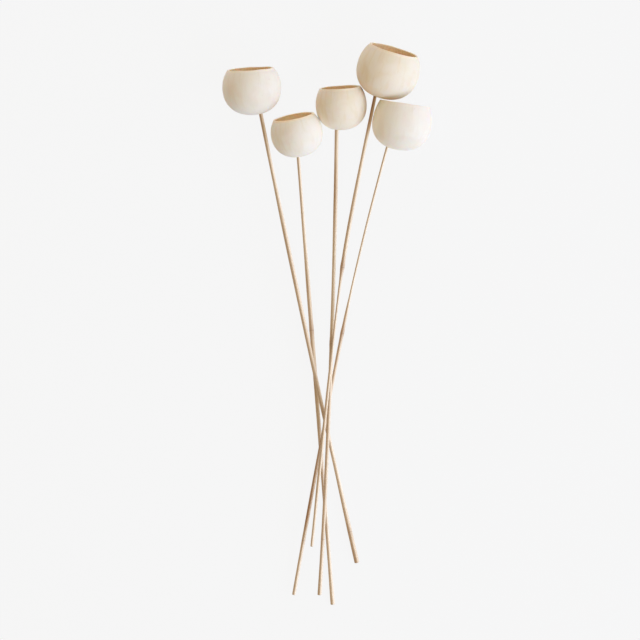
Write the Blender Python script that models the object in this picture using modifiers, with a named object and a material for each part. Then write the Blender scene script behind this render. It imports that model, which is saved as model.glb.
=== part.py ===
"""Dried bell-cup bunch: five bleached, hollow cups on reed stems, lying on a table.

Metres, +Z up.  The bunch lies along Y with its cups towards +Y.  Each cup is a thin woody
shell with a flat-cut mouth, drilled through its base for the tip of a reed stem, and a dab of
dried glue inside the cup holds that tip.  The five stems cross loosely and rest on each other.
"""

import math
from typing import NamedTuple

import bmesh
import bpy
from mathutils import Euler, Matrix, Vector

# Driving dimensions shared by every flower
WALL = 0.0016
FIT_GAP = 0.0003
RIM_ROUND = 0.0004
GLUE_RADIUS = 0.0075
GLUE_HEIGHT = 0.0042
GLUE_OVER_TIP = 0.0012

# How square a cup's outline is below its girth, where an ellipse would be 2, and how often a
# distance is halved to find where a stem meets it
BASE_POWER = 2.25
HALVINGS = 40

# The drilled hole: its length, and its room for the stem's taper on top of the fitting gap
DRILL_REACH = 0.022
TAPER_ROOM = 0.00005

# How far a reed's swelling reaches to each side of a joint, and how its sawn end is worn round
# (distance from the end, share of the width that is left)
JOINT_SPREAD = 0.005
END_WEAR = ((0.0012, 1.0), (0.0003, 0.9), (0.0, 0.72))

# How finely the round shapes are stepped
CUP_STEPS = 32
BASE_RINGS = 7
SHOULDER_RINGS = 5
STEM_STATIONS = 22
JOINT_RINGS = (-1.5, -0.7, 0.0, 0.7, 1.5)
STEM_BEVEL_RESOLUTION = 3
ROUTE_STEPS = 400
AIM_SHARE = 0.02
HOLE_SIDES = 16
GLUE_STEPS = 16
MERGE_DISTANCE = 0.00001


class Cup(NamedTuple):
    """A cup's shape, its place over the table, and how far its mouth leans right and tips up."""

    place: tuple
    lean_deg: float
    tip_up_deg: float
    girth: float
    base_depth: float
    shoulder_rise: float
    mouth: float


class Stem(NamedTuple):
    """A reed's route from its tip in the cup, past its elbow, to its sawn end.

    Its girth is given as pairs of a share of the length from the tip and the radius there, and
    each joint as its share of the length and how much it swells.
    """

    tip: tuple
    elbow: tuple
    cut: tuple
    elbow_pull: float
    girth: tuple
    joints: tuple


CUPS = {
    "outer_left": Cup((-0.0755, 0.2373), -3.4, 6.7, 0.0296, 0.0279, 0.0187, 0.0232),
    "lower_left": Cup((-0.0307, 0.1922), -11.4, 10.2, 0.0260, 0.0248, 0.0165, 0.0202),
    "middle": Cup((0.0140, 0.2198), -3.8, 7.7, 0.0256, 0.0255, 0.0179, 0.0203),
    "upper_right": Cup((0.0610, 0.2546), 16.2, 9.6, 0.0317, 0.0295, 0.0211, 0.0248),
    "lower_right": Cup((0.0746, 0.2009), 9.0, 2.0, 0.0297, 0.0269, 0.0206, 0.0254),
}

STEMS = {
    "outer_left": Stem(
        (-0.0679, 0.2174, 0.0256), (-0.0222, -0.0111, 0.0136), (0.0299, -0.2396, 0.00245),
        1.0,
        (
            (0.0, 0.00195), (0.15, 0.00187), (0.28, 0.00225), (0.46, 0.00217), (0.62, 0.00203),
            (0.78, 0.00185), (0.91, 0.00232), (1.0, 0.00248),
        ),
        ((0.93, 0.05),),
    ),
    "lower_left": Stem(
        (-0.0296, 0.1751, 0.0224), (-0.0120, -0.0534, 0.0021), (0.0055, -0.2816, 0.0022),
        1.0,
        (
            (0.0, 0.0017), (0.08, 0.00162), (0.2, 0.00182), (0.31, 0.00218), (0.47, 0.0022),
            (0.62, 0.002), (0.9, 0.00185), (1.0, 0.00222),
        ),
        ((0.395, 0.11),),
    ),
    "middle": Stem(
        (0.0095, 0.2031, 0.0232), (0.0067, -0.0344, 0.0217), (-0.0078, -0.2716, 0.0120),
        1.0,
        (
            (0.0, 0.002), (0.16, 0.00208), (0.33, 0.00186), (0.5, 0.00205), (0.75, 0.0019),
            (0.93, 0.0019), (1.0, 0.00206),
        ),
        ((0.467, 0.13), (0.88, 0.05)),
    ),
    "upper_right": Stem(
        (0.0487, 0.2327, 0.0293), (0.0133, 0.0600, 0.0253), (-0.0155, -0.2226, 0.0200),
        4.0,
        (
            (0.0, 0.0017), (0.15, 0.00176), (0.24, 0.00198), (0.385, 0.002), (0.43, 0.0013),
            (0.47, 0.00118), (0.55, 0.0012), (0.68, 0.0016), (0.86, 0.00168), (0.94, 0.00145),
            (1.0, 0.0015),
        ),
        ((0.387, 0.16),),
    ),
    "lower_right": Stem(
        (0.0625, 0.1868, 0.0275), (0.0206, 0.0334, 0.0190), (-0.0336, -0.2716, 0.0060),
        2.0,
        (
            (0.0, 0.0013), (0.12, 0.0012), (0.34, 0.0011), (0.4, 0.00165), (0.46, 0.0018),
            (0.52, 0.0016), (0.8, 0.00188), (1.0, 0.0018),
        ),
        ((0.428, 0.2), (0.88, 0.05)),
    ),
}

# Colour, roughness and metallic value of each finish
SHELL_FINISH = ((0.78, 0.70, 0.57, 1.0), 0.62, 0.0)
REED_FINISH = ((0.42, 0.27, 0.15, 1.0), 0.55, 0.0)
GLUE_FINISH = ((0.80, 0.71, 0.50, 1.0), 0.30, 0.0)


def empty_scene():
    """Remove every object that the start-up file brought."""
    for obj in list(bpy.data.objects):
        bpy.data.objects.remove(obj, do_unlink=True)


def new_collection(name):
    """A collection linked to the scene."""
    made = bpy.data.collections.new(name)
    bpy.context.scene.collection.children.link(made)
    return made


def make_material(name, finish):
    """A Principled material of one colour, roughness and metallic value."""
    colour, roughness, metallic = finish
    made = bpy.data.materials.new(name)
    made.use_nodes = True
    shader = made.node_tree.nodes["Principled BSDF"]
    shader.inputs["Base Color"].default_value = colour
    shader.inputs["Roughness"].default_value = roughness
    shader.inputs["Metallic"].default_value = metallic
    made.diffuse_color = colour
    return made


def shoulder_height(cup):
    """Half-height of the ellipse whose cut at the mouth has the mouth's radius."""
    return cup.shoulder_rise / math.sqrt(1 - (cup.mouth / cup.girth) ** 2)


def cup_turn(cup):
    """Rotation that lays a cup, modelled with its mouth up, on its side."""
    lying = math.radians(cup.tip_up_deg) - math.pi / 2
    return Euler((lying, 0, -math.radians(cup.lean_deg)))


def cup_centre(cup):
    """Centre of the girth, at the height where the lower half of the shell meets the table."""
    tip_up = math.radians(cup.tip_up_deg)
    power = BASE_POWER / (BASE_POWER - 1)
    across = cup.girth * math.cos(tip_up)
    along = cup.base_depth * math.sin(tip_up)
    return Vector((*cup.place, (across**power + along**power) ** (1 / power)))


def cup_profile(radius, below, above, cut_height):
    """Profile from the pole of the base, a squarer ellipse of half-height below, past the girth,
    up to cut_height on an ellipse of half-height above."""
    points = []
    for ring in range(BASE_RINGS):
        angle = math.pi / 2 * ring / BASE_RINGS
        across, down = math.sin(angle), math.cos(angle)
        reach = (across**BASE_POWER + down**BASE_POWER) ** (-1 / BASE_POWER)
        points.append((radius * across * reach, -below * down * reach))
    last_angle = math.asin(cut_height / above)
    for ring in range(SHOULDER_RINGS + 1):
        angle = last_angle * ring / SHOULDER_RINGS
        points.append((radius * math.cos(angle), above * math.sin(angle)))
    return points


def inner_profile(cup, inset):
    """Profile of the cup's inside, or of a shape that lies inset within the outside."""
    above = shoulder_height(cup) - inset
    return cup_profile(cup.girth - inset, cup.base_depth - inset, above, cup.shoulder_rise)


def turned(name, profile, collection):
    """Turn a profile about Z; at +X it ends down the outside, so that its faces point out."""
    mesh = bpy.data.meshes.new(name)
    points = [(radius, 0, height) for radius, height in profile]
    edges = [(i, i + 1) for i in range(len(points) - 1)]
    mesh.from_pydata(points, edges, [])
    obj = bpy.data.objects.new(name, mesh)
    collection.objects.link(obj)
    turn = obj.modifiers.new("turn", "SCREW")
    turn.axis = "Z"
    turn.angle = 2 * math.pi
    turn.steps = CUP_STEPS
    turn.render_steps = CUP_STEPS
    turn.use_merge_vertices = True
    turn.merge_threshold = MERGE_DISTANCE
    turn.use_smooth_shade = True
    return obj


def hide_helper(obj):
    """Keep a cutter out of the model."""
    obj.hide_render = True
    obj.display_type = "WIRE"


def apply_boolean(obj, operation, other):
    """Cut a closed helper out of obj, or keep only what lies inside the helper."""
    step = obj.modifiers.new(operation.lower(), "BOOLEAN")
    step.operation = operation
    step.solver = "EXACT"
    step.object = other


def stem_point(stem, share):
    """Point on the conic from tip to cut that leans to the elbow; a stronger pull bends sharper."""
    near, far = (1 - share) ** 2, share**2
    middle = 2 * stem.elbow_pull * share * (1 - share)
    total = near * Vector(stem.tip) + middle * Vector(stem.elbow) + far * Vector(stem.cut)
    return total / (near + middle + far)


def even_route(stem):
    """The stem's route as a function of the distance from its tip, with its length."""
    fine = [stem_point(stem, step / ROUTE_STEPS) for step in range(ROUTE_STEPS + 1)]
    run = [0.0]
    for before, after in zip(fine, fine[1:]):
        run.append(run[-1] + (after - before).length)

    def at(distance):
        """Point on the route at a distance from the tip."""
        index = next(i for i in range(1, len(run)) if run[i] >= distance or i == len(run) - 1)
        mix = (distance - run[index - 1]) / (run[index] - run[index - 1])
        return fine[index - 1].lerp(fine[index], mix)

    return at, run[-1]


def stem_stations(stem, length):
    """Distances from the tip where the stem has a ring: evenly, and closer round each joint."""
    inner = length - END_WEAR[0][0]
    places = {inner * step / (STEM_STATIONS - 1) for step in range(STEM_STATIONS)}
    for joint, _ in stem.joints:
        for offset in JOINT_RINGS:
            places.add(joint * length + offset * JOINT_SPREAD)
    return sorted(places)


def stem_radius(stem, distance, length):
    """Radius by the stem's girth, eased from mark to mark and swollen at each joint."""
    share = min(distance / length, 1)
    before, after = next(pair for pair in zip(stem.girth, stem.girth[1:]) if pair[1][0] >= share)
    mix = (share - before[0]) / (after[0] - before[0])
    radius = before[1] + (after[1] - before[1]) * mix * mix * (3 - 2 * mix)
    for joint, swell in stem.joints:
        away = (distance - joint * length) / JOINT_SPREAD
        radius *= 1 + swell * math.exp(-(away**2))
    return radius


def make_stem(name, stem, material, collection):
    """A reed: a tube of its own girth along its route, worn round at the sawn end."""
    at, length = even_route(stem)
    cut_radius = stem.girth[-1][1]
    rings = [(at(run), stem_radius(stem, run, length)) for run in stem_stations(stem, length)]
    for short_of_end, wear in END_WEAR[1:]:
        rings.append((at(length - short_of_end), cut_radius * wear))
    curve = bpy.data.curves.new(name, "CURVE")
    curve.dimensions = "3D"
    curve.bevel_depth = cut_radius
    curve.bevel_resolution = STEM_BEVEL_RESOLUTION
    curve.use_fill_caps = True
    spline = curve.splines.new("POLY")
    spline.points.add(len(rings) - 1)
    spline.use_smooth = True
    for point, (place, radius) in zip(spline.points, rings):
        point.co = (*place, 1)
        point.radius = radius / cut_radius
    curve.materials.append(material)
    obj = bpy.data.objects.new(name, curve)
    collection.objects.link(obj)
    return obj


def stem_aim(stem):
    """Direction in which the stem's tip points."""
    return (stem_point(stem, 0) - stem_point(stem, AIM_SHARE)).normalized()


def make_drill(name, stem, collection):
    """The round space that the stem's tip needs, from outside the cup to just past the tip."""
    mesh = bpy.data.meshes.new(name)
    shape = bmesh.new()
    radius = stem.girth[0][1] + TAPER_ROOM + FIT_GAP
    bmesh.ops.create_cone(
        shape,
        cap_ends=True,
        segments=HOLE_SIDES,
        radius1=radius,
        radius2=radius,
        depth=DRILL_REACH,
    )
    shape.to_mesh(mesh)
    shape.free()
    drill = bpy.data.objects.new(name, mesh)
    collection.objects.link(drill)
    aim = stem_aim(stem)
    drill.location = Vector(stem.tip) + aim * (FIT_GAP - DRILL_REACH / 2)
    drill.rotation_euler = aim.to_track_quat("Z", "Y").to_euler()
    hide_helper(drill)
    return drill


def make_cup(name, cup, drill, material, collection):
    """The shell: outside and inside turned in one profile with a rounded rim, then drilled."""
    outside = cup_profile(cup.girth, cup.base_depth, shoulder_height(cup), cup.shoulder_rise)
    inside = inner_profile(cup, WALL)
    (outer_edge, top), (inner_edge, _) = outside[-1], inside[-1]
    rim = [
        (inner_edge, top - RIM_ROUND),
        (inner_edge + RIM_ROUND, top),
        (outer_edge - RIM_ROUND, top),
        (outer_edge, top - RIM_ROUND),
    ]
    obj = turned(name, inside[:-1] + rim + outside[-2::-1], collection)
    obj.location = cup_centre(cup)
    obj.rotation_euler = cup_turn(cup)
    obj.data.materials.append(material)
    apply_boolean(obj, "DIFFERENCE", drill)
    return obj


def seat_of(cup, stem):
    """Where the stem's line leaves the inside of the cup's base, and the inward normal there."""
    frame = Matrix.LocRotScale(cup_centre(cup), cup_turn(cup), None)
    start = frame.inverted() @ Vector(stem.tip)
    step = frame.inverted().to_3x3() @ -stem_aim(stem)
    girth, depth = cup.girth - WALL, cup.base_depth - WALL
    inside, outside = 0.0, 2 * depth
    for _ in range(HALVINGS):
        middle = (inside + outside) / 2
        hit = start + step * middle
        across, down = math.hypot(hit.x, hit.y) / girth, -hit.z / depth
        if across**BASE_POWER + down**BASE_POWER < 1:
            inside = middle
        else:
            outside = middle
    sideways = across ** (BASE_POWER - 2) / girth**2
    normal = Vector((-hit.x * sideways, -hit.y * sideways, down ** (BASE_POWER - 1) / depth))
    return frame @ hit, frame.to_3x3() @ normal.normalized()


def make_glue(name, cup, stem, drill, material, parts, helpers):
    """A low dome of glue over the stem's tip, fitted to the inside of the cup."""
    seat, normal = seat_of(cup, stem)
    tip_height = (Vector(stem.tip) - seat).dot(normal)
    dome_height = max(GLUE_HEIGHT, tip_height + FIT_GAP + GLUE_OVER_TIP)
    mesh = bpy.data.meshes.new(name)
    shape = bmesh.new()
    bmesh.ops.create_uvsphere(
        shape, u_segments=GLUE_STEPS, v_segments=GLUE_STEPS // 2, radius=1
    )
    bmesh.ops.scale(shape, verts=shape.verts, vec=(GLUE_RADIUS, GLUE_RADIUS, dome_height))
    shape.to_mesh(mesh)
    shape.free()
    mesh.shade_smooth()
    dab = bpy.data.objects.new(name, mesh)
    parts.objects.link(dab)
    dab.location = seat
    dab.rotation_euler = normal.to_track_quat("Z", "Y").to_euler()
    dab.data.materials.append(material)

    room_profile = inner_profile(cup, WALL + FIT_GAP)
    room = turned(name + "_room", [(0, room_profile[-1][1])] + room_profile[::-1], helpers)
    room.location = cup_centre(cup)
    room.rotation_euler = cup_turn(cup)
    hide_helper(room)
    apply_boolean(dab, "INTERSECT", room)
    apply_boolean(dab, "DIFFERENCE", drill)
    return dab


def build_bunch():
    """Model each flower's cup, stem and glue, all hung on one empty at the bunch's middle."""
    empty_scene()
    parts = new_collection("dried_bell_cup_bunch")
    helpers = new_collection("cutters")
    bunch = bpy.data.objects.new("bunch", None)
    parts.objects.link(bunch)
    for name, cup in CUPS.items():
        stem = STEMS[name]
        drill = make_drill(name + "_drill", stem, helpers)
        pieces = [
            make_cup(name + "_cup", cup, drill, make_material(name + "_shell", SHELL_FINISH), parts),
            make_stem(name + "_stem", stem, make_material(name + "_reed", REED_FINISH), parts),
            make_glue(
                name + "_glue", cup, stem, drill,
                make_material(name + "_dried_glue", GLUE_FINISH), parts, helpers,
            ),
        ]
        for piece in pieces:
            piece.parent = bunch
    bpy.context.view_layer.update()


build_bunch()
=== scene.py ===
"""The looks of a dried bell-cup bunch: five bleached, hollow cups on reed stems, lying down.

Metres, +Z up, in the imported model's frame.  The bunch lies along Y with its cups towards +Y.
Sizes and places are those of the part's source, so every piece lies where its own node lies.
"""

import logging
import math
from dataclasses import dataclass, field
from enum import Enum
from typing import Any

import bpy
import numpy as np
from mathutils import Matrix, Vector

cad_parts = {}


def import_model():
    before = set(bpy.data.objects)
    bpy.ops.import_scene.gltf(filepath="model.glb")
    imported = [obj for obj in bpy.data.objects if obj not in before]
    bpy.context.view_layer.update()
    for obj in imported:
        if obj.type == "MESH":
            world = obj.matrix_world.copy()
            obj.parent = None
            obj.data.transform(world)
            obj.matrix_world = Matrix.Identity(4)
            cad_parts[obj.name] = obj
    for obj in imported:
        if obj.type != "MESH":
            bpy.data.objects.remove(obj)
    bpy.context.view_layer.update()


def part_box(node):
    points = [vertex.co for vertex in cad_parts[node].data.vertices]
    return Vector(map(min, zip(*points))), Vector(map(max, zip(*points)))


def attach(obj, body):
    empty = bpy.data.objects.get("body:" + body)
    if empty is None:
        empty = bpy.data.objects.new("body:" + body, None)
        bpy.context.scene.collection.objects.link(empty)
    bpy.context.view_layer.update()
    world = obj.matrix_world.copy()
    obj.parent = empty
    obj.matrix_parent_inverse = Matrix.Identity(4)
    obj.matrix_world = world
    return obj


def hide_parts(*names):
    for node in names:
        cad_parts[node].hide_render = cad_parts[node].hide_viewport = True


LOG = logging.getLogger("dried_bell_cup_bunch")

BODY = "root"
SMOOTH = {"interpolation_type": "SMOOTHSTEP"}

Array = np.ndarray
Pair = tuple[float, float]
Pairs = tuple[Pair, ...]
Colour = tuple[float, float, float]
Place = tuple[float, float, float]
Socket = bpy.types.NodeSocket
Entries = dict[int | str, Any]


class Part(Enum):
    """The pieces of one flower: the ending of the node, the piece's own name and its finish."""

    CUP = ("cup", "bell_cup", "bleached_shell")
    STEM = ("stem", "reed_stem", "dried_reed")
    GLUE = ("glue", "glue_dab", "dried_glue")

    def __init__(self, ending: str, title: str, slot: str) -> None:
        """Keeps the three names apart."""
        self.ending, self.title, self.slot = ending, title, slot


class ShellTone(Enum):
    """How far a cup has been bleached: pale and tan outside, two linings and the sawn rim."""

    CHALK = (
        (0.855, 0.795, 0.705), (0.79, 0.70, 0.58),
        (0.95, 0.80, 0.60), (0.90, 0.70, 0.47), (0.95, 0.83, 0.69),
    )
    IVORY = (
        (0.855, 0.79, 0.70), (0.79, 0.69, 0.54),
        (0.99, 0.84, 0.64), (0.97, 0.77, 0.55), (0.97, 0.80, 0.59),
    )
    STRAW = (
        (0.85, 0.765, 0.64), (0.78, 0.65, 0.45),
        (0.95, 0.80, 0.60), (0.90, 0.70, 0.47), (0.92, 0.79, 0.62),
    )

    def __init__(self, *colours: Colour) -> None:
        """Names the five colours."""
        self.pale, self.tan, self.lining, self.deep_lining, self.sawn_rim = colours


class Blush(Enum):
    """A tint laid over parts of a cup's bleached colour: a tan stain, which on the middle cup's
    right side is painted shade, then painted light, painted shade, and painted shade where cups
    touch.
    """

    # A tan stain round bases and stems, also painted shade on the middle cup's right side.
    TAN_STAIN_AND_SHADE = (0.76, 0.55, 0.31)
    # Painted light: paler patches where neighbouring cups shade a side.
    PAINTED_LIGHT = (0.96, 0.88, 0.74)
    # Painted shade: grey darkening on the lower sides of the two left cups.
    PAINTED_SHADE = (0.66, 0.65, 0.60)
    # Painted shade: small dark spots where two cups touch.
    PAINTED_CONTACT_SHADE = (0.40, 0.26, 0.14)


# ---- shapes worked out as numbers


def unit(vectors: Array) -> Array:
    """Each vector divided by its own length."""
    return vectors / np.linalg.norm(vectors, axis=-1, keepdims=True)


def smooth_share(value: Array, start: float, end: float) -> Array:
    """3t^2 - 2t^3 for t = (value - start) / (end - start), held between 0 and 1."""
    share = np.clip((value - start) / (end - start), 0.0, 1.0)
    return share * share * (3.0 - 2.0 * share)


def eased(pairs: Pairs, shares: Array) -> Array:
    """A curve through marks, eased by 3t^2 - 2t^3 between them.

    Args:
        pairs: each mark and the value there.
        shares: where the curve is read.

    Returns:
        The value at each share.
    """
    marks, values = np.array(pairs).T
    mark = np.clip(np.searchsorted(marks, shares) - 1, 0, len(marks) - 2)
    mix = smooth_share(shares, marks[mark], marks[mark + 1])
    return values[mark] + (values[mark + 1] - values[mark]) * mix


def bell(share: Array) -> Array:
    """exp(-share^2): 1 at 0, and less on both sides."""
    return np.exp(-(share**2))


def turned_about(vectors: Array, axis: Array, angles: Array) -> Array:
    """Vectors turned about one axis, each by its own angle.

    v cos(a) + (axis x v) sin(a) + axis (axis . v) (1 - cos(a)).

    Args:
        vectors: the vectors.
        axis: the unit axis.
        angles: an angle for each vector, in radians.

    Returns:
        The turned vectors.
    """
    cosine, sine = np.cos(angles)[..., None], np.sin(angles)[..., None]
    along = (vectors @ axis)[..., None] * axis
    return vectors * cosine + np.cross(axis, vectors) * sine + along * (1.0 - cosine)


def gentle_noise(where: Array, seed: int) -> Array:
    """Smooth unevenness between -1 and 1.

    The mean of sines of (where . axis + phase), with seeded axes and phases, stretched so that
    most of it spans the range.

    Args:
        where: points or directions, in radians of the sines.
        seed: which pattern.

    Returns:
        One value for each point.
    """
    dice, waves, stretch = np.random.default_rng(seed), 7, 2.2
    axes = unit(dice.normal(size=(waves, where.shape[-1])))
    phases = dice.uniform(0.0, 2.0 * math.pi, waves)
    total = np.sin(where @ axes.T + phases).mean(axis=-1)
    return np.clip(total * stretch, -1.0, 1.0)


def circle(columns: int) -> Array:
    """Cosine and sine of evenly spaced angles, one row for each."""
    angles = np.linspace(0.0, 2.0 * math.pi, columns, endpoint=False)
    return np.stack([np.cos(angles), np.sin(angles)], axis=-1)


def stacked(rings: Array, heights: Array) -> Array:
    """Flat rings given a third coordinate.

    Args:
        rings: a ring of flat points for each height, or one ring for all.
        heights: the third coordinate of each ring.

    Returns:
        rings x columns x 3 points.
    """
    tall = np.broadcast_to(heights[:, None, None], (len(heights), rings.shape[-2], 1))
    return np.concatenate([np.broadcast_to(rings, (*tall.shape[:2], 2)), tall], axis=-1)


def grid_quads(rows: int, columns: int, joined: bool) -> Array:
    """Corners of the faces of a grid whose columns close into rings.

    Point (row, column) is number row * columns + column, and each face takes a point, the next
    one round, and the two above them.

    Args:
        rows: how many rings.
        columns: how many points each ring has.
        joined: whether the last ring joins the first.

    Returns:
        Four point numbers for each face.
    """
    row = np.arange(rows if joined else rows - 1)[:, None]
    column = np.arange(columns)[None, :]
    after, beside = (row + 1) % rows, (column + 1) % columns
    corners = (row * columns + column, row * columns + beside)
    corners += (after * columns + beside, after * columns + column)
    return np.stack(np.broadcast_arrays(*corners), axis=-1).reshape(-1, 4)


def linked(name: str, data: bpy.types.ID) -> bpy.types.Object:
    """Puts new data into the scene.

    Args:
        name: the object's name.
        data: its mesh, lamp or lens.

    Returns:
        The object that holds it.
    """
    made = bpy.data.objects.new(name, data)
    bpy.context.scene.collection.objects.link(made)
    return made


@dataclass
class Surface:
    """A closed surface as numbers: its points, faces, and the values that its finish reads."""

    points: Array
    quads: Array
    values: dict[str, Array]
    triangles: Array = field(default_factory=lambda: np.zeros((0, 3), int))

    def volume(self) -> float:
        """A sixth of the sum of a . (b x c) over all triangles: negative if faces point in.

        Returns:
            The volume, in cubic metres.
        """
        halves = (self.quads[:, [0, 1, 2]], self.quads[:, [0, 2, 3]], self.triangles)
        first, second, third = self.points[np.concatenate(halves)].transpose(1, 0, 2)
        return float(np.einsum("ij,ij->", first, np.cross(second, third)) / 6.0)

    def piece(self, name: str, finish: bpy.types.Material) -> bpy.types.Object:
        """Puts the surface into a smooth mesh, faces outwards, and links its object.

        Args:
            name: the new object's name.
            finish: the material that it wears.

        Returns:
            The object, at the origin with its place in its mesh.
        """
        order = 1 if self.volume() > 0.0 else -1
        faces = self.quads[:, ::order].tolist() + self.triangles[:, ::order].tolist()
        mesh = bpy.data.meshes.new(name)
        mesh.from_pydata(self.points.tolist(), [], faces)
        mesh.polygons.foreach_set("use_smooth", np.ones(len(mesh.polygons), bool))
        for title, values in self.values.items():
            kind, entry = ("FLOAT", "value") if values.ndim == 1 else ("FLOAT_VECTOR", "vector")
            layer = mesh.attributes.new(title, kind, "POINT")
            layer.data.foreach_set(entry, values.astype(np.float32).ravel())
        mesh.materials.append(finish)
        mesh.update()
        return linked(name, mesh)


def tube(rings: Array, poles: Any, values: dict[str, Array]) -> Surface:
    """A tube of rings, closed by a fan from its first ring to a pole, and one from its last.

    Args:
        rings: rings x columns x 3 points.
        poles: both poles, numbered after the rings' points.
        values: what the finish reads at each point.

    Returns:
        The closed surface.
    """
    rows, columns = rings.shape[:2]
    first, pole = np.arange(columns), np.full(columns, rows * columns)
    beside, last = (first + 1) % columns, (rows - 1) * columns
    fans = [(beside, first, pole), (last + first, last + beside, pole + 1)]
    triangles = np.concatenate([np.stack(fan, axis=-1) for fan in fans])
    points = np.concatenate([rings.reshape(-1, 3), poles])
    return Surface(points, grid_quads(rows, columns, joined=False), values, triangles)


# ---- finishes worked out as nodes


@dataclass
class Level:
    """A number that varies over a surface, so that arithmetic on it adds Math nodes."""

    board: "Board"
    socket: Socket

    def maths(self, operation: str, first: Any, second: Any) -> "Level":
        """What one Math node makes of two entries."""
        node = self.board.add("ShaderNodeMath", {"operation": operation}, {0: first, 1: second})
        return Level(self.board, node.outputs[0])

    def __add__(self, other: Any) -> "Level":
        """self + other, and other + self."""
        return self.maths("ADD", self, other)

    def __sub__(self, other: Any) -> "Level":
        """self - other."""
        return self.maths("SUBTRACT", self, other)

    def __rsub__(self, other: Any) -> "Level":
        """other - self."""
        return self.maths("SUBTRACT", other, self)

    def __mul__(self, other: Any) -> "Level":
        """self * other, and other * self."""
        return self.maths("MULTIPLY", self, other)

    __radd__, __rmul__ = __add__, __mul__

    def faded(self, start: float, end: float) -> "Level":
        """0 up to start, 1 from end on, and a smooth rise between them."""
        entries = {"Value": self, "From Min": start, "From Max": end}
        return Level(self.board, self.board.add("ShaderNodeMapRange", SMOOTH, entries).outputs[0])


class Board:
    """The node tree of one finish or of the sky, and the ways in which nodes go on it."""

    def __init__(self, owner: bpy.types.ID, shader: str = "Principled BSDF") -> None:
        """Opens the tree.

        Args:
            owner: the material or world that the tree belongs to.
            shader: the node that the tree ends in.
        """
        owner.use_nodes = True
        self.owner, self.tree = owner, owner.node_tree
        self.shader = self.tree.nodes[shader]

    def fit(self, node: bpy.types.Node, entries: Entries) -> None:
        """Links a node's sockets to levels and outputs, or sets their values, colours opaque.

        Args:
            node: the node.
            entries: what each socket takes, by its name or number.
        """
        for name, entry in entries.items():
            source = entry.socket if isinstance(entry, Level) else entry
            if isinstance(source, Socket):
                self.tree.links.new(source, node.inputs[name])
            else:
                opaque = isinstance(source, tuple) and node.inputs[name].type == "RGBA"
                node.inputs[name].default_value = (*source, 1.0) if opaque else source

    def add(self, kind: str, settings: dict[str, Any], entries: Entries) -> bpy.types.Node:
        """Puts one node on the board.

        Args:
            kind: the node's type.
            settings: its own settings, which are set first.
            entries: values or links for its sockets, by name or number.

        Returns:
            The new node.
        """
        node = self.tree.nodes.new(kind)
        for setting, value in settings.items():
            setattr(node, setting, value)
        self.fit(node, entries)
        return node

    def carried(self, title: str) -> bpy.types.Node:
        """The node of a value that the mesh carries at each point."""
        return self.add("ShaderNodeAttribute", {"attribute_name": title}, {})

    def level(self, title: str) -> Level:
        """A number that the mesh carries at each point."""
        return Level(self, self.carried(title).outputs["Fac"])

    def run(self, stretch: Place) -> Socket:
        """The grain that the mesh carries at each point, times a stretch."""
        entries = {0: self.carried("grain").outputs["Vector"], 1: stretch}
        return self.add("ShaderNodeVectorMath", {"operation": "MULTIPLY"}, entries).outputs[0]

    def place(self) -> Socket:
        """Object coordinates, in metres."""
        return self.add("ShaderNodeTexCoord", {}, {}).outputs["Object"]

    def noise(self, where: Socket, detail: float, warp: float = 0.0, scale: float = 1.0) -> Level:
        """Soft noise around 0.5.

        Args:
            where: the coordinates that it reads.
            detail: how many finer layers it has.
            warp: how far it is bent out of its own grid.
            scale: its grains for each unit of the coordinates.

        Returns:
            The noise, between 0 and 1.
        """
        entries = {"Vector": where, "Scale": scale, "Detail": detail, "Distortion": warp}
        return Level(self, self.add("ShaderNodeTexNoise", {}, entries).outputs[0])

    def layered(self, ground: Any, *layers: tuple[Any, Any]) -> Socket:
        """Colours laid one over another.

        Args:
            ground: the lowest colour.
            layers: each colour over it, in turn, and how much of it shows.

        Returns:
            The mixed colour.
        """
        settings = {"data_type": "RGBA", "clamp_factor": True}
        for colour, cover in layers:
            entries = {0: cover, 6: ground, 7: colour}
            ground = self.add("ShaderNodeMix", settings, entries).outputs[2]
        return ground

    def wear(
        self, colour: Socket, roughness: Level, height: Level, depth: float, rest: Entries
    ) -> None:
        """Feeds the shader.

        Args:
            colour: the base colour.
            roughness: the roughness.
            height: the relief, from 0 to 1.
            depth: how deep that relief is, in metres.
            rest: what is the same all over, by socket name.
        """
        relief = self.add("ShaderNodeBump", {}, {"Height": height, "Distance": depth})
        varied = {"Base Color": colour, "Roughness": roughness, "Normal": relief.outputs[0]}
        self.fit(self.shader, varied | rest)


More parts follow.
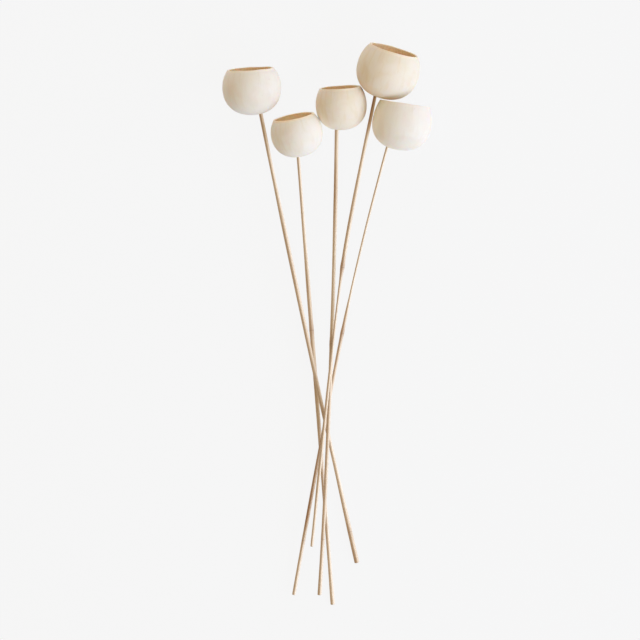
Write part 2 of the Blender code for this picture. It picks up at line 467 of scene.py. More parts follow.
@dataclass(frozen=True)
class BleachedShell:
    """A thin woody shell, bleached outside in streaks, tan and fibrous inside, cut at the rim."""

    tone: ShellTone
    speck: Colour = (0.60, 0.47, 0.31)
    streak_run: Place = (5.0, 5.0, 0.9)
    fibre_run: Place = (26.0, 26.0, 2.2)
    patch_scale: float = 55.0
    pore_scale: float = 1100.0
    speck_scale: float = 420.0
    relief: float = 0.00010
    gloss: float = 0.25
    see_through: float = 0.35
    glow: Colour = (1.0, 0.55, 0.28)
    glow_depth: float = 0.003

    def lay(self, board: Board) -> None:
        """Lays the finish's nodes.

        Outside, pale mixes with tan by broad patches and by streaks that run from stem to
        mouth, and each blush that the mesh carries is laid over them: a tan stain that in places
        is painted shade, painted light, painted shade, and painted shade where cups touch.  Inside,
        fibres run the same way in two golden tans.  The sawn rim is its own colour.

        Args:
            board: its material's board.
        """
        place = board.place()
        inside = board.level("inside")
        streaks = board.noise(board.run(self.streak_run), 3.0, 0.4)
        fibres = board.noise(board.run(self.fibre_run), 4.0, 0.2)
        patches = board.noise(place, 3.0, 0.6, self.patch_scale)
        pores = board.noise(place, 2.0, scale=self.pore_scale)
        specks = board.noise(place, 1.0, scale=self.speck_scale).faded(0.70, 0.78)

        tone, uneven = self.tone, 0.75 + streaks * 0.5
        outside = board.layered(
            tone.pale,
            (tone.tan, patches.faded(0.44, 0.72) * 0.45),
            (tone.tan, streaks.faded(0.46, 0.74) * 0.55),
            (tone.pale, fibres.faded(0.52, 0.70) * 0.35),
            (self.speck, specks * 0.18),
            # The blushes: a tan stain that in places is painted shade, painted light, painted
            # shade, and painted shade where cups touch.
            *[(blush.value, board.level(blush.name.lower()) * uneven) for blush in Blush],
        )
        lined = board.layered(tone.deep_lining, (tone.lining, fibres.faded(0.35, 0.65)))
        colour = board.layered(outside, (lined, inside), (tone.sawn_rim, board.level("rim")))

        roughness = 0.58 + fibres * 0.12 + inside * 0.14
        height = fibres * 0.55 + streaks * 0.25 + pores * 0.2
        rest = {"Specular IOR Level": self.gloss, "Subsurface Weight": self.see_through}
        rest |= {"Subsurface Radius": self.glow, "Subsurface Scale": self.glow_depth}
        board.wear(colour, roughness, height, self.relief, rest)


@dataclass(frozen=True)
class DriedReed:
    """A dry reed: lengthwise fibres, a paler side that is painted light, and ringed joints."""

    silver: Colour = (0.65, 0.49, 0.325)
    silver_fibre: Colour = (0.46, 0.315, 0.175)
    brown: Colour = (0.41, 0.22, 0.098)
    brown_fibre: Colour = (0.25, 0.12, 0.05)
    # Painted light: the paler colours, for a silver and for a brown reed, laid on the side that
    # faces the right-hand lamps.
    bleached: Colour = (1.0, 0.85, 0.66)
    painted_lit_side_on_brown: Colour = (0.96, 0.74, 0.51)
    joint: Colour = (0.36, 0.19, 0.10)
    scar: Colour = (0.17, 0.09, 0.045)
    sawn: Colour = (0.30, 0.19, 0.10)
    pith: Colour = (0.78, 0.66, 0.48)
    band_run: Place = (1.4, 1.4, 22.0)
    fibre_run: Place = (7.0, 7.0, 34.0)
    line_run: Place = (17.0, 17.0, 12.0)
    relief: float = 0.00004
    polish: float = 0.25
    polish_roughness: float = 0.28

    def lay(self, board: Board) -> None:
        """Lays the finish's nodes.

        Ground and fibres go from silver to brown along the reed, and on one tip that brown is
        painted shadow; a paler colour, painted light, takes the side that faces the right-hand
        lamps, less of it where the reed is browner; each joint has a faint ruddy band and scar;
        the sawn end is dark with pale pith.

        Args:
            board: its material's board.
        """
        bands = board.noise(board.run(self.band_run), 2.0, 0.3)
        fibres = board.noise(board.run(self.fibre_run), 4.0, 0.2)
        lines = board.noise(board.run(self.line_run), 2.0)
        joint, brown = board.level("joint"), board.level("brown")
        # Painted light: a mask that is high on the side facing the right-hand lamps.
        bleached = (board.level("lit_side") + (bands - 0.5) * 0.9).faded(0.18, 0.85)

        fibre = board.layered(self.silver_fibre, (self.brown_fibre, brown))
        pale = board.layered(self.bleached, (self.painted_lit_side_on_brown, brown))
        colour = board.layered(
            self.silver,
            (self.brown, brown),
            (fibre, fibres.faded(0.42, 0.66) * 0.7),
            # Painted light on the lit side, less of it where the reed is browner; on one tip that
            # also paints shadow.
            (pale, bleached * (0.96 - brown * 0.45)),
            (fibre, lines.faded(0.58, 0.72) * 0.35),
            (self.joint, joint * 0.4),
            (self.scar, board.level("scar") * 0.5),
            (self.sawn, board.level("sawn")),
            (self.pith, board.level("pith")),
        )

        roughness = 0.40 + fibres * 0.16 + joint * 0.12
        rest = {"Coat Weight": self.polish, "Coat Roughness": self.polish_roughness}
        board.wear(colour, roughness, lines * 0.6 + fibres * 0.4, self.relief, rest)


@dataclass(frozen=True)
class DriedGlue:
    """A dab of craft glue, dried cloudy, with a skin that is glossy where it is thick."""

    cloudy: Colour = (0.84, 0.77, 0.60)
    amber: Colour = (0.62, 0.44, 0.20)
    cloud_scale: float = 260.0
    relief: float = 0.0002
    skin: float = 0.5
    skin_roughness: float = 0.12

    def lay(self, board: Board) -> None:
        """Lays the finish's nodes: cloudy over amber, amber where the dab thins out.

        Args:
            board: its material's board.
        """
        clouds = board.noise(board.place(), 3.0, 0.8, self.cloud_scale)
        dried, thin = clouds.faded(0.30, 0.62), board.level("thin") * 0.7
        colour = board.layered(self.amber, (self.cloudy, dried), (self.amber, thin))
        rest = {"Coat Weight": self.skin, "Coat Roughness": self.skin_roughness}
        board.wear(colour, 0.18 + clouds * 0.25, clouds, self.relief, rest)


# ---- the pieces of one flower


@dataclass
class ReedStem:
    """A reed from its tip inside the cup to its sawn end, bending past an elbow.

    Girth, joints and browning are pairs of a share of the length from the tip and, there, the
    radius, the swell, or how brown the reed is, from 0 to 1; at the upper right stem's tip that
    browning is painted shadow.  A joint that swells less than full_swell is less ruddy.  The
    side with painted light, a paler colour, is lit_turn_deg above the stem's right.  Its
    unevenness is pairs of a depth and the stretch of its pattern.  Two rings and the pith sink
    into the sawn end.
    """

    tip: Place
    elbow: Place
    cut: Place
    elbow_pull: float
    girth: Pairs
    joints: Pairs
    browning_and_shade: Pairs
    seed: int
    joint_spread: float = 0.005
    ruddy_spread: float = 0.008
    full_swell: float = 0.13
    scar_after: float = 0.0007
    scar_spread: float = 0.0003
    scar_groove: float = 0.04
    lit_turn_deg: float = 16.0
    unevenness: tuple[tuple[float, Place], ...] = (
        (0.022, (1.6, 1.6, 30.0)), (0.012, (6.0, 6.0, 60.0)),
    )
    worn_length: float = 0.0012
    worn_width: float = 0.72
    sawn_shares: Pair = (0.82, 0.5)
    sawn_depths: Place = (0.00005, 0.00022, 0.00026)
    sawn_dark: float = 0.0004
    pith_edge: float = 0.8
    half_step: float = 0.0005
    route_steps: int = 2001
    rings: int = 240
    joint_rings: int = 61
    end_rings: int = 9
    end_crowding: float = 1.6
    columns: int = 24

    def route(self, shares: Array) -> Array:
        """Points of the conic from tip to cut that leans to the elbow.

        ((1-t)^2 tip + 2w t(1-t) elbow + t^2 cut) / ((1-t)^2 + 2w t(1-t) + t^2).

        Args:
            shares: t, from 0 at the tip to 1 at the cut.

        Returns:
            A point for each share.
        """
        near, far = (1.0 - shares) ** 2, shares**2
        weights = np.stack([near, 2.0 * self.elbow_pull * shares * (1.0 - shares), far], axis=-1)
        corners = (self.tip, self.elbow, self.cut)
        return weights @ corners / weights.sum(axis=-1, keepdims=True)

    def aim(self) -> Array:
        """The direction in which the tip points, away from the elbow."""
        return unit(np.subtract(self.tip, self.elbow))

    def stations(self, length: float) -> Array:
        """Where the reed has rings: evenly, and more closely at its joints and ends.

        Args:
            length: the reed's whole length.

        Returns:
            Distances from the tip.
        """
        near_joint = np.linspace(-2.0, 2.0, self.joint_rings) * self.joint_spread
        near_end = self.worn_length * np.linspace(0.0, 1.0, self.end_rings) ** self.end_crowding
        places = [joint * length + near_joint for joint, _ in self.joints]
        places += [np.linspace(0.0, length, self.rings), near_end, length - near_end]
        return np.unique(np.round(np.concatenate(places), 7))

    def tip_radius(self) -> float:
        """The radius at the tip, which the hole and the pocket leave room for."""
        return self.girth[0][1]

    def surface(self) -> Surface:
        """The reed as a tube round its route, closed at both ends.

        Radius = girth * (1 + swell * exp(-(distance to the joint / spread)^2) - groove at its
        scar) * end wear * (1 - a little unevenness); the sawn face sinks to a shallow pith.

        Returns:
            The closed surface.
        """
        shares = np.linspace(0.0, 1.0, self.route_steps)
        chords = np.linalg.norm(np.diff(self.route(shares), axis=0), axis=1)
        run = np.append(0.0, np.cumsum(chords))
        length = float(run[-1])
        distances = self.stations(length)
        steps = (-self.half_step, 0.0, self.half_step)
        behind, centres, ahead = (
            self.route(np.interp(distances + step, run, shares)) for step in steps
        )
        tangents = unit(ahead - behind)
        sides = unit(np.cross((0.0, 0.0, 1.0), tangents))
        ups = np.cross(tangents, sides)

        joints, swells = np.array(self.joints).T
        past = distances[:, None] - joints * length
        swell = bell(past / self.joint_spread) @ swells
        ruddy = np.clip(swells / self.full_swell, 0.0, 1.0) * bell(past / self.ruddy_spread)
        scar = bell((past - self.scar_after) / self.scar_spread).max(axis=1)
        to_end = np.minimum(distances, length - distances) / self.worn_length
        wear = 1.0 - (1.0 - self.worn_width) * (1.0 - np.clip(to_end, 0.0, 1.0)) ** 3
        girths = eased(self.girth, distances / length)
        widths = girths * (1.0 + swell - self.scar_groove * scar) * wear

        ring = circle(self.columns)
        grain = stacked(ring, np.append(distances, [length, length]))
        uneven = np.ones((len(distances), self.columns))
        for seed, (share, stretch) in enumerate(self.unevenness, self.seed):
            uneven += share * (gentle_noise(grain[:-2] * stretch, seed) - 1.0)
        spokes = sides[:, None] * ring[:, :1] + ups[:, None] * ring[:, 1:]
        bark = centres[:, None] + (widths[:, None] * uneven)[..., None] * spokes
        sunk = centres[-1] - np.outer(self.sawn_depths, tangents[-1])
        sawn_shares = np.array(self.sawn_shares)[:, None, None]
        rings = np.concatenate([bark, sunk[:2, None] + sawn_shares * (bark[-1] - centres[-1])])
        grain = np.concatenate([grain.reshape(-1, 3), [(0.0, 0.0, 0.0), (0.0, 0.0, length)]])
        lit_turn = math.radians(self.lit_turn_deg)

        def on_points(values: Array, sawn: Any = (0.0, 0.0), ends: Any = (0.0, 0.0)) -> Any:
            """One value a ring, spread to its points, with the sawn rings and both poles."""
            return np.append(np.repeat(np.append(values, sawn), self.columns), ends)

        end_dark = smooth_share(distances, length - self.sawn_dark, length)
        values = {
            "grain": grain,
            "lit_side": grain[:, :2] @ (math.cos(lit_turn), math.sin(lit_turn)),
            "brown": on_points(eased(self.browning_and_shade, distances / length)),
            "joint": on_points(ruddy.max(axis=1)),
            "scar": on_points(scar),
            "sawn": on_points(end_dark, (1.0, 1.0), (0.0, 1.0)),
            "pith": on_points(np.zeros_like(distances), (0.0, self.pith_edge), (0.0, 1.0)),
        }
        return tube(rings, [centres[0], sunk[2]], values)


@dataclass
class BellCup:
    """A hollow cup lying on its side: an ellipsoid shell, cut flat at the mouth and drilled.

    Its blushes say where each tint lies: degrees right of the mouth as seen from above, degrees
    above the table, degrees that it spreads, and how much it covers.  The rim_share is less
    where the rim has faded with the shell.
    """

    place: Pair
    lean_deg: float
    tip_up_deg: float
    girth: float
    base_depth: float
    shoulder_rise: float
    mouth: float
    tone: ShellTone
    seed: int
    blushes: dict[Blush, tuple[tuple[float, float, float, float], ...]]
    rim_share: float = 1.0
    wall: float = 0.0016
    base_power: float = 2.25
    hole_room: float = 0.00025
    hole_edge: float = 0.006
    whole_turn: float = 0.08
    no_turn_deg: float = 75.0
    lip: float = 0.0006
    lip_power: float = 0.6
    dent_share: float = 0.008
    dent_runs: Pair = (2.6, 11.0)
    small_dents: float = 0.10
    rim_wave: float = 0.00035
    wave_run: float = 9.0
    wave_reach: float = 0.003
    rim_fades: Pair = (0.09, 0.02)
    rim_covers: Pair = (0.8, 0.6)
    stem_tan: float = 0.35
    tan_spread: float = 0.10
    halvings: int = 40
    outer_rings: int = 56
    inner_rings: int = 48
    lip_rings: int = 11
    columns: int = 144

    def crown(self) -> float:
        """Half-height of the ellipse whose cut at the mouth has the mouth's radius."""
        return self.shoulder_rise / math.sqrt(1.0 - (self.mouth / self.girth) ** 2)

    def centre(self) -> Array:
        """Centre of the girth, as high as the shell's lower half needs to meet the table.

        The height is (across^q + along^q)^(1/q), for q = power / (power - 1).

        Returns:
            The centre.
        """
        tip_up = math.radians(self.tip_up_deg)
        power = self.base_power / (self.base_power - 1.0)
        across = self.girth * math.cos(tip_up)
        along = self.base_depth * math.sin(tip_up)
        return np.array([*self.place, (across**power + along**power) ** (1.0 / power)])

    def turn(self) -> Array:
        """Rotation from the cup with its mouth up to the cup as it lies, lean after tip.

        Returns:
            Its 3 x 3 matrix.
        """
        across, _, up = axes = np.eye(3)
        lying = np.full(3, math.radians(self.tip_up_deg) - math.pi / 2.0)
        lean = np.full(3, -math.radians(self.lean_deg))
        return turned_about(turned_about(axes, across, lying), up, lean).T

    def own(self, point: Place) -> Array:
        """A point of the bunch, on the cup's own axes."""
        return (point - self.centre()) @ self.turn()

    def laid(self, points: Array) -> Array:
        """Points on the cup's own axes, as they lie in the bunch."""
        return points @ self.turn().T + self.centre()

    def base_sizes(self, inset: float) -> Array:
        """Half-sizes of the base, for the skin that lies inset within the outside."""
        return np.array([self.girth, self.girth, self.base_depth]) - inset

    def base_sum(self, shares: Array) -> Array:
        """across^power + |up|^power of shares of the half-sizes: 1 on the base, less inside."""
        across = np.linalg.norm(shares[..., :2], axis=-1)
        return across**self.base_power + np.abs(shares[..., 2]) ** self.base_power

    def reach(self, directions: Array, inset: float) -> Array:
        """What each unit direction is stretched by along the three axes to meet a skin.

        The half-sizes, deeper or higher by the direction's side; in the base also divided by
        (across^power + |up|^power)^(1 / power), which makes its outline squarer.

        Args:
            directions: unit directions from the cup's centre.
            inset: how far the skin lies inside.

        Returns:
            Three stretches for each direction.
        """
        down = directions[..., 2] < 0.0
        squarer = np.where(down, self.base_sum(directions) ** (-1.0 / self.base_power), 1.0)
        upright = np.where(down, self.base_depth, self.crown()) - inset
        across = np.full_like(upright, self.girth - inset)
        return np.stack([across, across, upright], axis=-1) * squarer[..., None]

    def fall_to_base(self, begin: Array, way: Array, inset: float) -> Array:
        """How far points inside the cup are from a skin of its base, found by halving.

        Args:
            begin: points on the cup's own axes.
            way: the unit direction that they go.
            inset: how far the skin lies inside.

        Returns:
            The distance of each point.
        """
        near = np.zeros(begin.shape[:-1])
        far = np.full(begin.shape[:-1], 2.0 * self.base_depth)
        for _ in range(self.halvings):
            middle = (near + far) / 2.0
            reached = begin + middle[..., None] * way
            inside = self.base_sum(reached / self.base_sizes(inset)) < 1.0
            near, far = np.where(inside, middle, near), np.where(inside, far, middle)
        return near

    def stem_exit(self, stem: ReedStem, inset: float) -> Array:
        """Where the stem's line leaves a skin.

        Args:
            stem: the stem whose tip is in the cup.
            inset: how far the skin lies inside.

        Returns:
            That point on the cup's own axes.
        """
        begin, way = self.own(stem.tip), -stem.aim() @ self.turn()
        return begin + self.fall_to_base(begin, way, inset) * way

    def skin(self, polar: Array, stem: ReedStem, inset: float) -> Array:
        """Rings of one skin, from the stem's hole to the mouth.

        A direction at polar angle s from the base is (sin s cos a, sin s sin a, -cos s).  Near
        the base it is turned towards the stem's exit, by all of that angle at the hole and by
        none past no_turn_deg; then it is stretched to the skin.

        Args:
            polar: the rings' polar angles.
            stem: the stem that the cup is drilled for.
            inset: how far the skin lies inside.

        Returns:
            rings x columns x 3 points on the cup's own axes.
        """
        directions = stacked(np.sin(polar)[:, None, None] * circle(self.columns), -np.cos(polar))
        exit_way = unit(self.stem_exit(stem, inset) / self.base_sizes(inset))
        base = np.array([0.0, 0.0, -1.0])
        hinge = unit(np.cross(base, exit_way))
        full_turn = math.acos(float(np.clip(base @ exit_way, -1.0, 1.0)))
        share = 1.0 - smooth_share(polar, self.whole_turn, math.radians(self.no_turn_deg))
        angles = np.broadcast_to(full_turn * share[:, None], directions.shape[:2])
        directions = turned_about(directions, hinge, angles)
        return directions * self.reach(directions, inset)

    def blushed(self, points: Array, blush: Blush) -> Array:
        """How much of a tint each point has.

        The sum of share * exp(-(angle from the place / spread)^2) over the tint's places.

        Args:
            points: points on the cup's own axes.
            blush: the tint.

        Returns:
            One value for each point.
        """
        ways = unit(points)
        total = np.zeros(ways.shape[:-1])
        for lean, tip, spread, share in self.blushes.get(blush, ()):
            across, up = math.radians(lean), math.radians(tip)
            flat = math.cos(up)
            middle = (flat * math.sin(across), -math.sin(up), flat * math.cos(across))
            away = np.arccos(np.clip(ways @ middle, -1.0, 1.0))
            total += share * bell(away / math.radians(spread))
        return total

    def rim_angle(self, inset: float) -> float:
        """Polar angle at which a skin reaches the bottom of the lip."""
        return math.pi - math.acos((self.shoulder_rise - self.lip) / (self.crown() - inset))

    def shaped(self, points: Array) -> Array:
        """Points pressed in a little here and there, so that no two sides are alike.

        Each is scaled by 1 - dent (1 + noise) / 2, and the mouth's edge waves a little.

        Args:
            points: points on the cup's own axes.

        Returns:
            The pressed points.
        """
        ways = unit(points)
        runs = enumerate(self.dent_runs, self.seed)
        broad, small = (gentle_noise(ways * run, seed) for seed, run in runs)
        dents = 0.5 + 0.5 * broad + self.small_dents * small
        pressed = points * (1.0 - self.dent_share * np.clip(dents, 0.0, 1.0))[..., None]
        rise = self.shoulder_rise
        wave = 0.5 + 0.5 * gentle_noise(ways[..., :2] * self.wave_run, self.seed + 2)
        wave *= smooth_share(points[..., 2], rise - self.wave_reach, rise)
        pressed[..., 2] -= self.rim_wave * wave
        return pressed

    def surface(self, stem: ReedStem) -> Surface:
        """The shell as one ring-shaped surface: outside, lip, inside, and the hole's wall.

        The lip is a rounded step across the wall, with radius = middle + half * |cos t|^power,
        signed, and height = foot + lip * (sin t)^power, for t from 0 to 180 degrees.

        Args:
            stem: the stem that the cup is drilled for.

        Returns:
            The closed surface.
        """
        hole_radius = stem.tip_radius() + self.hole_room
        start_out = hole_radius / self.girth
        start_in = hole_radius / (self.girth - self.wall)
        outer_polar = np.linspace(start_out, self.rim_angle(0.0), self.outer_rings)
        outer_polar = np.insert(outer_polar, 1, start_out + self.hole_edge)
        inner_polar = np.linspace(self.rim_angle(self.wall), start_in, self.inner_rings)
        inner_polar = np.insert(inner_polar, -1, start_in + self.hole_edge)
        outside = self.skin(outer_polar, stem, 0.0)
        inside = self.skin(inner_polar, stem, self.wall)

        outer_edge = np.linalg.norm(outside[-1, 0, :2])
        inner_edge = np.linalg.norm(inside[0, 0, :2])
        sweep = np.linspace(0.0, math.pi, self.lip_rings + 2)[1:-1]
        swing = np.sign(np.cos(sweep)) * np.abs(np.cos(sweep)) ** self.lip_power
        radii = (outer_edge + inner_edge) / 2.0 + (outer_edge - inner_edge) / 2.0 * swing
        heights = self.shoulder_rise - self.lip + self.lip * np.sin(sweep) ** self.lip_power
        spokes = outside[-1, :, :2] / outer_edge
        lip = stacked(radii[:, None, None] * spokes, heights)

        own = np.concatenate([outside, lip, inside])
        polar = np.concatenate([outer_polar, np.full(len(lip), outer_polar[-1]), inner_polar])
        lined = np.concatenate([np.zeros(len(outside)), (1.0 - swing) / 2.0, np.ones(len(inside))])
        edges = zip((outer_polar, inner_polar), self.rim_fades, self.rim_covers, strict=True)
        rim_outside, rim_inside = (
            smooth_share(angles, angles.max() - fade, angles.max()) * cover
            for angles, fade, cover in edges
        )
        rim = np.concatenate([rim_outside, np.ones(len(lip)), rim_inside]) * self.rim_share
        round_stem = np.exp((start_out - polar) / self.tan_spread) * (1.0 - lined)
        tints = {blush: self.blushed(own, blush) for blush in Blush}
        tints[Blush.TAN_STAIN_AND_SHADE] += self.stem_tan * round_stem[:, None]
        carried = {tint.name.lower(): cover.clip(0.0, 1.0).ravel() for tint, cover in tints.items()}
        carried["grain"] = stacked(circle(self.columns), polar).reshape(-1, 3)
        carried["inside"] = np.repeat(lined, self.columns)
        carried["rim"] = np.repeat(rim, self.columns)
        points = self.laid(self.shaped(own).reshape(-1, 3))
        return Surface(points, grid_quads(len(own), self.columns, joined=True), carried)


@dataclass
class GlueDab:
    """A low dome of glue on the inner wall, round the stem's tip."""

    seed: int
    radius: float = 0.0075
    height: float = 0.0042
    over_tip: float = 0.0012
    pocket_room: float = 0.00025
    gap: float = 0.0003
    edge_height: float = 0.00008
    unevenness: float = 0.10
    outline_run: float = 2.4
    lump_run: float = 700.0
    dome_power: float = 0.7
    thin_power: int = 6
    top_share: float = 0.06
    dome_rings: int = 14
    foot_rings: int = 6
    foot_room: float = 1.05
    pocket_shares: Place = (0.15, 0.6, 1.0)
    columns: int = 56

    def surface(self, cup: BellCup, stem: ReedStem) -> Surface:
        """The dab as one surface: dome, foot on the wall, and the pocket that holds the tip.

        A point at share q of the radius stands height * (1 - q^2)^dome_power over the wall,
        with a few lumps.  The wall under it is found by dropping the point along the seat's
        normal, which is the slope of across^power + |up|^power.  The pocket is a round hole
        along the stem's line.

        Args:
            cup: the cup that it is in.
            stem: the stem that it holds.

        Returns:
            The closed surface.
        """
        seat = cup.stem_exit(stem, cup.wall)
        seat_shares = seat / cup.base_sizes(cup.wall)
        across, down = np.linalg.norm(seat_shares[:2]), -seat_shares[2]
        steeper = np.array([across, across, down]) ** (cup.base_power - 2.0)
        normal = -unit(steeper * seat_shares / cup.base_sizes(cup.wall))
        aim = stem.aim() @ cup.turn()
        to_tip = cup.own(stem.tip) - seat
        tall = max(self.height, to_tip @ normal + self.gap + self.over_tip)
        first = unit(np.cross(normal, (0.0, 1.0, 0.0)))
        spokes = circle(self.columns) @ np.stack([first, np.cross(normal, first)])

        def on_wall(shares: Array) -> Array:
            """Points over the inner wall, by the gap, for rings at shares of the radius.

            Args:
                shares: the rings' shares.

            Returns:
                rings x columns x 3 points.
            """
            waves = gentle_noise(spokes * self.outline_run, self.seed)
            reach = self.radius * (1.0 + self.unevenness * waves)
            above = seat + shares[:, None, None] * (reach[:, None] * spokes) + self.radius * normal
            fall = cup.fall_to_base(above, -normal, cup.wall)
            return above + (self.gap - fall)[..., None] * normal

        shares = np.sin(np.linspace(self.top_share, 1.0, self.dome_rings) * math.pi / 2.0)
        foot = on_wall(shares)
        lumps = 1.0 + self.unevenness * gentle_noise(foot * self.lump_run, self.seed + 1)
        rise = tall * (1.0 - shares**2)[:, None] ** self.dome_power * lumps + self.edge_height
        pocket_radius = stem.tip_radius() + self.pocket_room
        brink = pocket_radius / self.radius * self.foot_room
        under = on_wall(np.linspace(1.0, brink, self.foot_rings)[1:])
        roof = (to_tip @ aim + self.gap) * aim
        pocket = seat + pocket_radius * spokes + np.array(self.pocket_shares)[:, None, None] * roof
        rows = np.concatenate([foot + rise[..., None] * normal, under, pocket])
        poles = np.array([seat + normal * (tall + self.gap), seat + roof])
        thin = np.concatenate([shares**self.thin_power, np.ones(len(under)), np.zeros(len(pocket))])
        values = {"thin": np.append(np.repeat(thin, self.columns), [0.0, 0.0])}
        return tube(cup.laid(rows), cup.laid(poles), values)


@dataclass
class BellFlower:
    """One flower of the bunch: a cup glued on the tip of its stem."""

    name: str
    cup: BellCup
    stem: ReedStem
    glue: GlueDab

    def settle(self, piece: bpy.types.Object, part: Part) -> None:
        """Lets a piece stand for its node and ride with the bunch.

        Args:
            piece: the finished piece.
            part: which piece of the flower it is.
        """
        node = f"{self.name}_{part.ending}"
        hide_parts(node)
        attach(piece, BODY)
        corners = np.array([point.co for point in piece.data.vertices])
        apart = np.abs(np.array([corners.min(0), corners.max(0)]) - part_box(node)).max()
        LOG.info("%s: %d faces, within %.2f mm", piece.name, len(piece.data.polygons), apart * 1e3)

    def build(self) -> None:
        """Makes the flower's three pieces, each in its own finish."""
        made = {
            Part.CUP: (self.cup.surface(self.stem), BleachedShell(self.cup.tone)),
            Part.STEM: (self.stem.surface(), DriedReed()),
            Part.GLUE: (self.glue.surface(self.cup, self.stem), DriedGlue()),
        }
        for part, (surface, finish) in made.items():
            board = Board(bpy.data.materials.new(f"{self.name}_{part.slot}"))
            finish.lay(board)
            self.settle(surface.piece(f"{self.name}_{part.title}", board.owner), part)


# ---- the room that it is seen in


@dataclass
class Studio:
    """A pale table, soft light from the right and above, and a camera that looks down.

    Each of the lamps is what hang_lamp takes.
    """

    middle: Pair = (-0.00725, 0.0044)
    seen_width: float = 0.64
    camera_height: float = 6.03
    lens_reach: float = 6.0
    sensor: float = 36.0
    table_half: float = 6.0
    table_glow: Colour = (0.885, 0.885, 0.885)
    table_grey: Colour = (0.04, 0.04, 0.04)
    ambience: Colour = (0.429, 0.309, 0.173)
    backdrop: Colour = (0.912, 0.912, 0.912)
    aim: Place = (-0.00725, 0.2044, 0.0)
    lamp_distance: float = 3.0
    lamp_size: float = 2.0
    lamps: tuple[tuple[str, Place, Colour, float], ...] = (
        ("right_soft_box", (1.73, 0.0, 1.0), (0.68, 0.77, 1.0), 33.2),
        ("stem_side_soft_box", (1.2, -1.2, 1.0), (0.534, 0.707, 1.0), 59.2),
        ("mouth_side_soft_box", (0.0, 1.73, 1.0), (0.651, 0.753, 1.0), 23.5),
        ("overhead_soft_box", (0.0, 0.0, 1.0), (0.778, 1.0, 0.964), 16.7),
    )

    def lay_table(self) -> None:
        """Lays a wide flat table, so evenly lit that shadows hardly show on it."""
        half = self.table_half
        corners = [(-half, -half, 0.0), (half, -half, 0.0), (half, half, 0.0), (-half, half, 0.0)]
        mesh = bpy.data.meshes.new("pale_table")
        mesh.from_pydata(corners, [], [(0, 1, 2, 3)])
        board = Board(bpy.data.materials.new("pale_table_top"))
        looks = {"Base Color": self.table_grey, "Roughness": 1.0, "Specular IOR Level": 0.0}
        looks |= {"Emission Color": self.table_glow, "Emission Strength": 1.0}
        board.fit(board.shader, looks)
        mesh.materials.append(board.owner)
        table = linked("pale_table", mesh)

    def light_sky(self) -> None:
        """Warm light from all round, with a pale backdrop where the camera sees past the table."""
        board = Board(bpy.data.worlds.new("studio_sky"), "Background")
        seen = board.add("ShaderNodeLightPath", {}, {}).outputs["Is Camera Ray"]
        board.fit(board.shader, {"Color": board.layered(self.ambience, (self.backdrop, seen))})
        bpy.context.scene.world = board.owner

    def hang_lamp(self, name: str, way: Place, colour: Colour, watts: float) -> None:
        """Hangs a square soft box that faces the cups.

        Args:
            name: the lamp's name.
            way: its direction from the cups.
            colour: the colour of its light.
            watts: its power.
        """
        light = bpy.data.lights.new(name, "AREA")
        light.shape, light.size = "SQUARE", self.lamp_size
        light.color, light.energy = colour, watts
        made = linked(name, light)
        back = Vector(way).normalized()
        made.location = back * self.lamp_distance + Vector(self.aim)
        made.rotation_euler = back.to_track_quat("Z", "Y").to_euler()

    def hang_camera(self) -> None:
        """Hangs a long lens straight above: lens = sensor * reach / the width that it sees."""
        lens = bpy.data.cameras.new("overhead_camera")
        lens.sensor_width = self.sensor
        lens.lens = self.sensor * self.lens_reach / self.seen_width
        lens.clip_end = 4.0 * self.lens_reach
        made = linked("overhead_camera", lens)
        made.location = (*self.middle, self.camera_height)
        bpy.context.scene.camera = made

    def build(self) -> None:
        """Sets the table, the sky, the lamps, the camera and plain colour handling."""
        bpy.context.scene.view_settings.view_transform = "Standard"
        self.light_sky()
        self.lay_table()
        for lamp in self.lamps:
            self.hang_lamp(*lamp)
        self.hang_camera()


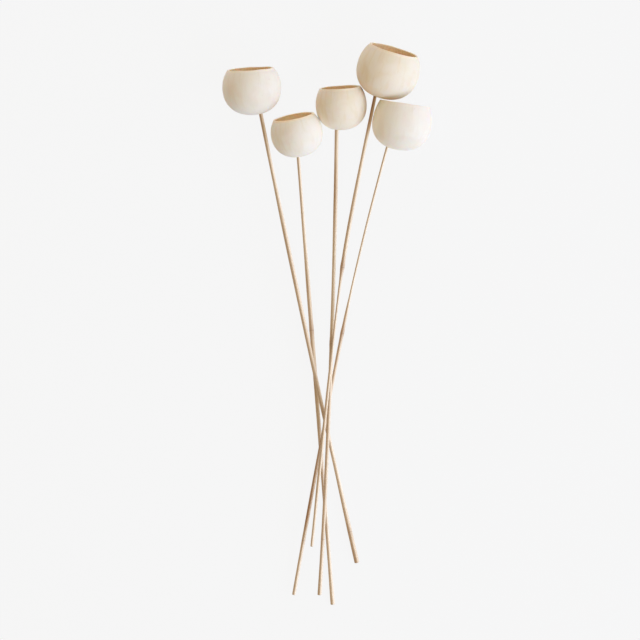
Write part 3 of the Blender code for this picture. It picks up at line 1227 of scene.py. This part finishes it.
# The halves of the five flowers, named by where their cups lie.
CUPS = {
    "outer_left": BellCup(
        (-0.0755, 0.2373), -3.4, 6.7, 0.0296, 0.0279, 0.0187, 0.0232, ShellTone.CHALK, 11,
        # The grey patches are painted shade on this cup's lower side.
        {Blush.PAINTED_SHADE: ((-140.0, 5.0, 38.0, 0.75), (165.0, 0.0, 30.0, 0.4))},
    ),
    "lower_left": BellCup(
        (-0.0307, 0.1922), -11.4, 10.2, 0.0260, 0.0248, 0.0165, 0.0202, ShellTone.IVORY, 12,
        {
            # The grey patch is painted shade on this cup's lower side.
            Blush.PAINTED_SHADE: ((-130.0, 10.0, 28.0, 0.5),),
            # Painted light: a paler patch on this cup's right side.
            Blush.PAINTED_LIGHT: ((85.0, 15.0, 30.0, 0.6),),
            # Painted shade: a small dark spot where this cup touches a neighbour.
            Blush.PAINTED_CONTACT_SHADE: ((70.0, 0.0, 7.0, 0.9),),
        },
    ),
    "middle": BellCup(
        (0.0140, 0.2198), -3.8, 7.7, 0.0256, 0.0255, 0.0179, 0.0203, ShellTone.STRAW, 13,
        {
            # The tan patch on this cup's right side is painted shade from the neighbouring cups.
            Blush.TAN_STAIN_AND_SHADE: ((-85.0, 10.0, 22.0, 0.2), (112.0, 5.0, 28.0, 0.5)),
            # Painted light: a paler patch on this cup's lower left side.
            Blush.PAINTED_LIGHT: ((-125.0, 5.0, 26.0, 0.9),),
            # Painted shade: small dark spots where this cup touches its neighbours.
            Blush.PAINTED_CONTACT_SHADE: ((57.0, 5.0, 9.0, 1.0), (-118.0, 0.0, 7.0, 0.9)),
        },
    ),
    "upper_right": BellCup(
        (0.0610, 0.2546), 16.2, 9.6, 0.0317, 0.0295, 0.0211, 0.0248, ShellTone.STRAW, 14,
        {
            Blush.TAN_STAIN_AND_SHADE: ((-150.0, 8.0, 22.0, 0.9), (178.0, 5.0, 20.0, 0.45)),
            # Painted light: a paler patch on the base where the lower right cup shades it.
            Blush.PAINTED_LIGHT: ((138.0, 5.0, 30.0, 1.0),),
            # Painted shade: a small dark spot where this cup touches the middle cup.
            Blush.PAINTED_CONTACT_SHADE: ((-143.0, -5.0, 9.0, 1.0),),
        },
        0.75,
    ),
    "lower_right": BellCup(
        (0.0746, 0.2009), 9.0, 2.0, 0.0297, 0.0269, 0.0206, 0.0254, ShellTone.CHALK, 15,
        # Painted light: a paler patch on the left side, for light that neighbouring cups throw.
        {Blush.PAINTED_LIGHT: ((-80.0, 15.0, 38.0, 0.8),)}, 0.4,
    ),
}
STEMS = {
    "outer_left": ReedStem(
        (-0.0679, 0.2174, 0.0256), (-0.0222, -0.0111, 0.0136), (0.0299, -0.2396, 0.00245), 1.0,
        (
            (0.0, 0.00195), (0.15, 0.00187), (0.28, 0.00225), (0.46, 0.00217), (0.62, 0.00203),
            (0.78, 0.00185), (0.91, 0.00232), (1.0, 0.00248),
        ),
        ((0.93, 0.05),),
        ((0.0, 0.5), (0.05, 0.5), (0.11, 0.2), (0.37, 0.35), (0.83, 0.15), (1.0, 0.6)), 21,
    ),
    "lower_left": ReedStem(
        (-0.0296, 0.1751, 0.0224), (-0.0120, -0.0534, 0.0021), (0.0055, -0.2816, 0.0022), 1.0,
        (
            (0.0, 0.0017), (0.08, 0.00162), (0.2, 0.00182), (0.31, 0.00218), (0.47, 0.0022),
            (0.62, 0.002), (0.9, 0.00185), (1.0, 0.00222),
        ),
        ((0.395, 0.11),),
        ((0.0, 0.35), (0.1, 0.3), (0.2, 0.1), (0.31, 0.4), (0.7, 0.25), (1.0, 0.25)), 22,
    ),
    "middle": ReedStem(
        (0.0095, 0.2031, 0.0232), (0.0067, -0.0344, 0.0217), (-0.0078, -0.2716, 0.0120), 1.0,
        (
            (0.0, 0.002), (0.16, 0.00208), (0.33, 0.00186), (0.5, 0.00205), (0.75, 0.0019),
            (0.93, 0.0019), (1.0, 0.00206),
        ),
        ((0.467, 0.13), (0.88, 0.05)),
        ((0.0, 0.45), (0.05, 0.4), (0.14, 0.75), (0.28, 0.1), (0.8, 0.45), (1.0, 0.3)), 23,
    ),
    "upper_right": ReedStem(
        (0.0487, 0.2327, 0.0293), (0.0133, 0.0600, 0.0253), (-0.0155, -0.2226, 0.0200), 4.0,
        (
            (0.0, 0.0017), (0.15, 0.00176), (0.24, 0.00198), (0.385, 0.002), (0.43, 0.0013),
            (0.47, 0.00118), (0.55, 0.0012), (0.68, 0.0016), (0.86, 0.00168), (0.94, 0.00145),
            (1.0, 0.0015),
        ),
        ((0.387, 0.16),),
        # Browning at this tip is painted shadow of the lower right cup.
        ((0.0, 1.0), (0.06, 1.0), (0.11, 0.3), (0.34, 0.3), (0.38, 0.5), (0.46, 0.35), (1.0, 0.25)),
        24,
    ),
    "lower_right": ReedStem(
        (0.0625, 0.1868, 0.0275), (0.0206, 0.0334, 0.0190), (-0.0336, -0.2716, 0.0060), 2.0,
        (
            (0.0, 0.0013), (0.12, 0.0012), (0.34, 0.0011), (0.4, 0.00165), (0.46, 0.0018),
            (0.52, 0.0016), (0.8, 0.00188), (1.0, 0.0018),
        ),
        ((0.428, 0.2), (0.88, 0.05)),
        ((0.0, 0.3), (0.34, 0.1), (0.42, 0.6), (0.6, 0.5), (0.83, 1.0), (0.88, 0.25)), 25,
    ),
}


def main() -> None:
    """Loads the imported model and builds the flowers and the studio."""
    logging.basicConfig(level=logging.INFO, format="%(name)s: %(message)s")
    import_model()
    for seed, (name, cup) in enumerate(CUPS.items(), 31):
        BellFlower(name, cup, STEMS[name], GlueDab(seed)).build()
    Studio().build()


if __name__ == "__main__":
    main()
